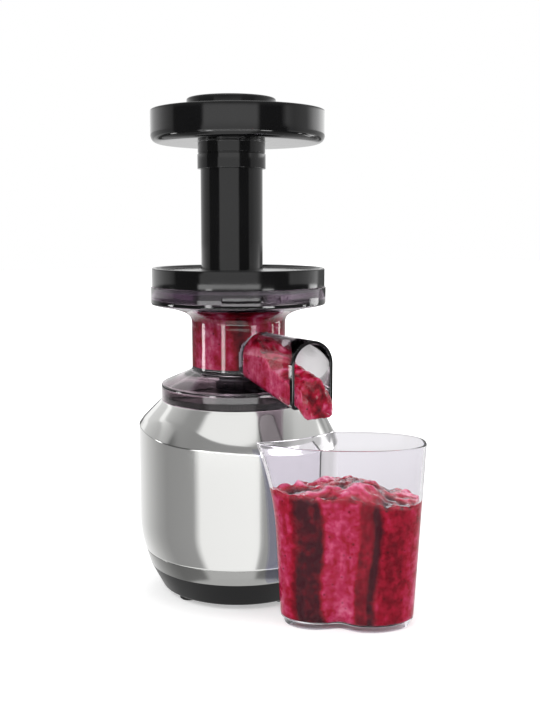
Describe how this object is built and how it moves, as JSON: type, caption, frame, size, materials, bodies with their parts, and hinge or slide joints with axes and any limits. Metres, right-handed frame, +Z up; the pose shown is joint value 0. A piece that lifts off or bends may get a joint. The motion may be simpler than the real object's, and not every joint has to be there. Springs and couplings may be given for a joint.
{
  "type": "cold press juicer",
  "caption": "Upright cold press juicer: round motor base, smoked bowl with wide arched spout, lid with feed tube, food tray with pusher, and a clear jug.",
  "frame": {"origin": "on the axis of the motor base, at the surface the juicer stands on", "axes": "+Z up along the bowl's axis; the spout points to -Y; the switch and the cord outlet face +Y"},
  "size_m": [0.1724, 0.259, 0.4168],
  "materials": {
    "base_black": "satin",
    "foot_rubber": "matt",
    "screw_steel": "zinc plated",
    "trim_grey": "painted grey, satin",
    "housing_silver": "painted silver, gloss",
    "seat_black": "satin",
    "gearbox_alloy": "cast",
    "motor_steel": "zinc plated",
    "magnet_grey": "sintered",
    "motor_plastic": "satin",
    "brush_carbon": "pressed carbon",
    "bush_bronze": "sintered",
    "shaft_steel": "ground",
    "rotor_iron": "laminated",
    "winding_copper": "enamelled wire",
    "pinion_brass": "cut",
    "gear_nylon": "moulded",
    "gear_steel": "sintered",
    "bearing_steel": "polished",
    "seal_rubber": "silicone",
    "board_green": "solder mask",
    "board_dark": "moulded",
    "rocker_black": "gloss",
    "micro_blue": "moulded",
    "plunger_red": "moulded",
    "bowl_smoked": "smoked clear, gloss",
    "strainer_grey": "satin",
    "strainer_steel": "slotted sheet",
    "auger_dark": "satin",
    "gloss_black": "gloss",
    "jug_clear": "clear, gloss"
  },
  "bodies": {
    "base": {"base_cover": "base_black", "foot_pads": "foot_rubber", "base_screws": "screw_steel", "trim_ring": "trim_grey", "motor_housing": "housing_silver", "bowl_seat": "seat_black", "seat_screws": "screw_steel", "gearbox_base": "gearbox_alloy", "gearbox_cover": "gearbox_alloy", "gearbox_screws": "screw_steel", "motor_can": "motor_steel", "motor_magnets": "magnet_grey", "motor_end_cap": "motor_plastic", "motor_brushes": "brush_carbon", "motor_bushes": "bush_bronze", "gear_a_axle": "shaft_steel", "gear_b_axle": "shaft_steel", "output_bearing": "bearing_steel", "shaft_seal": "seal_rubber", "circuit_board": "board_green", "board_parts": "board_dark", "switch_frame": "base_black", "switch_pivot": "screw_steel", "interlock_switch": "micro_blue", "cord_gland": "base_black"},
    "rotor": {"motor_shaft": "shaft_steel", "rotor_core": "rotor_iron", "rotor_windings": "winding_copper", "commutator": "winding_copper", "cooling_fan": "motor_plastic", "motor_pinion": "pinion_brass"},
    "gear_a": {"gear_a": "gear_nylon"},
    "gear_b": {"gear_b": "gear_nylon"},
    "drive": {"output_gear": "gear_steel", "output_shaft": "shaft_steel"},
    "rocker": {"switch_rocker": "rocker_black"},
    "plunger": {"interlock_plunger": "plunger_red"},
    "bowl": {"juice_bowl": "bowl_smoked", "bowl_seal": "seal_rubber", "strainer_frame": "strainer_grey", "strainer_screen": "strainer_steel", "drip_pin": "screw_steel"},
    "flap": {"drip_stop": "seal_rubber"},
    "auger": {"auger": "auger_dark", "auger_pin": "shaft_steel"},
    "lid": {"lid": "gloss_black", "lid_seal": "seal_rubber"},
    "tray": {"food_tray": "gloss_black"},
    "pusher": {"pusher_stem": "gloss_black", "pusher_cap": "gloss_black", "pusher_seal": "seal_rubber"},
    "jug": {"jug": "jug_clear"}
  },
  "joints": [
    {"name": "drive_spin", "type": "hinge", "parent": "base", "child": "drive", "pos_m": [0, 0, 0.163], "axis": [0, 0, 1], "continuous": true},
    {"name": "gear_b_spin", "type": "hinge", "parent": "base", "child": "gear_b", "pos_m": [0, 0.042, 0.123], "axis": [0, 0, 1], "continuous": true},
    {"name": "gear_a_spin", "type": "hinge", "parent": "base", "child": "gear_a", "pos_m": [-0.03248, 0.02325, 0.113], "axis": [0, 0, 1], "continuous": true},
    {"name": "rotor_spin", "type": "hinge", "parent": "base", "child": "rotor", "pos_m": [-0.02016, -0.01058, 0.073], "axis": [0, 0, 1], "continuous": true},
    {"name": "auger_spin", "type": "hinge", "parent": "bowl", "child": "auger", "pos_m": [0, 0, 0.213], "axis": [0, 0, 1], "continuous": true},
    {"name": "bowl_lift", "type": "slide", "parent": "base", "child": "bowl", "axis": [0, 0, 1], "range_m": [0, 0.06]},
    {"name": "lid_twist", "type": "hinge", "parent": "bowl", "child": "lid", "pos_m": [0, 0, 0.263], "axis": [0, 0, 1], "range_deg": [-24, 0]},
    {"name": "tray_lift", "type": "slide", "parent": "lid", "child": "tray", "axis": [0, 0, 1], "range_m": [0, 0.04]},
    {"name": "pusher_slide", "type": "slide", "parent": "tray", "child": "pusher", "axis": [0, 0, 1], "range_m": [0, 0.11]},
    {"name": "switch_rock", "type": "hinge", "parent": "base", "child": "rocker", "pos_m": [0, 0.0848, 0.0785], "axis": [1, 0, 0], "range_deg": [-9, 9]},
    {"name": "interlock_press", "type": "slide", "parent": "base", "child": "plunger", "axis": [0, 0, 1], "range_m": [-0.002, 0], "stiffness_N_per_m": 400},
    {"name": "drip_flap", "type": "hinge", "parent": "bowl", "child": "flap", "pos_m": [0.05225, 0.08362, 0.2144], "axis": [0.848, -0.5299, 0], "range_deg": [0, 90]},
    {"name": "jug_slide", "type": "slide", "parent": "base", "child": "jug", "axis": [0, -1, 0], "range_m": [0, 0.15]}
  ],
  "couplings": [
    {"joint": "gear_b_spin", "follows": "drive_spin", "ratio": -3.6667},
    {"joint": "gear_a_spin", "follows": "drive_spin", "ratio": 14.667},
    {"joint": "rotor_spin", "follows": "drive_spin", "ratio": -73.333},
    {"joint": "auger_spin", "follows": "drive_spin", "ratio": 1}
  ]
}
